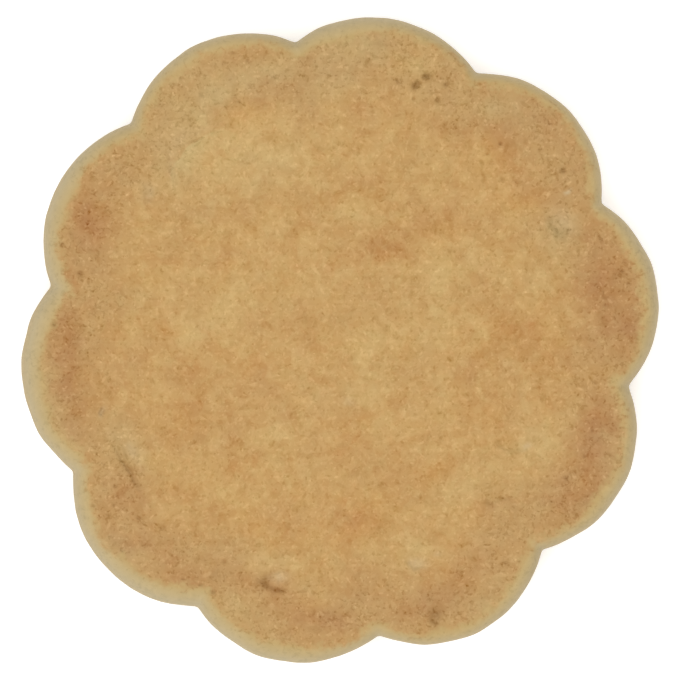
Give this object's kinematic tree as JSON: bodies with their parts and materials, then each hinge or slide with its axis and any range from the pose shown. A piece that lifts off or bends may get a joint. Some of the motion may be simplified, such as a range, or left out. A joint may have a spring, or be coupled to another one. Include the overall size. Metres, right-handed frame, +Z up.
{
  "type": "flower shortbread cookie",
  "caption": "Flat flower-shaped shortbread cookie with a round-lobed edge, sharp valleys between the lobes, a golden browned face and a paler rounded side.",
  "frame": {"origin": "on the flat resting face's plane, under the centre of the cookie's box", "axes": "+Z is up through the thickness, out of the browned face; +X and +Y span the flower outline"},
  "size_m": [0.0656, 0.0666, 0.0078],
  "materials": {
    "baked_dough": "dry baked shortbread dough, golden brown on the face and paler at the side"
  },
  "bodies": {
    "root": {"cookie": "baked_dough"}
  },
  "joints": []
}
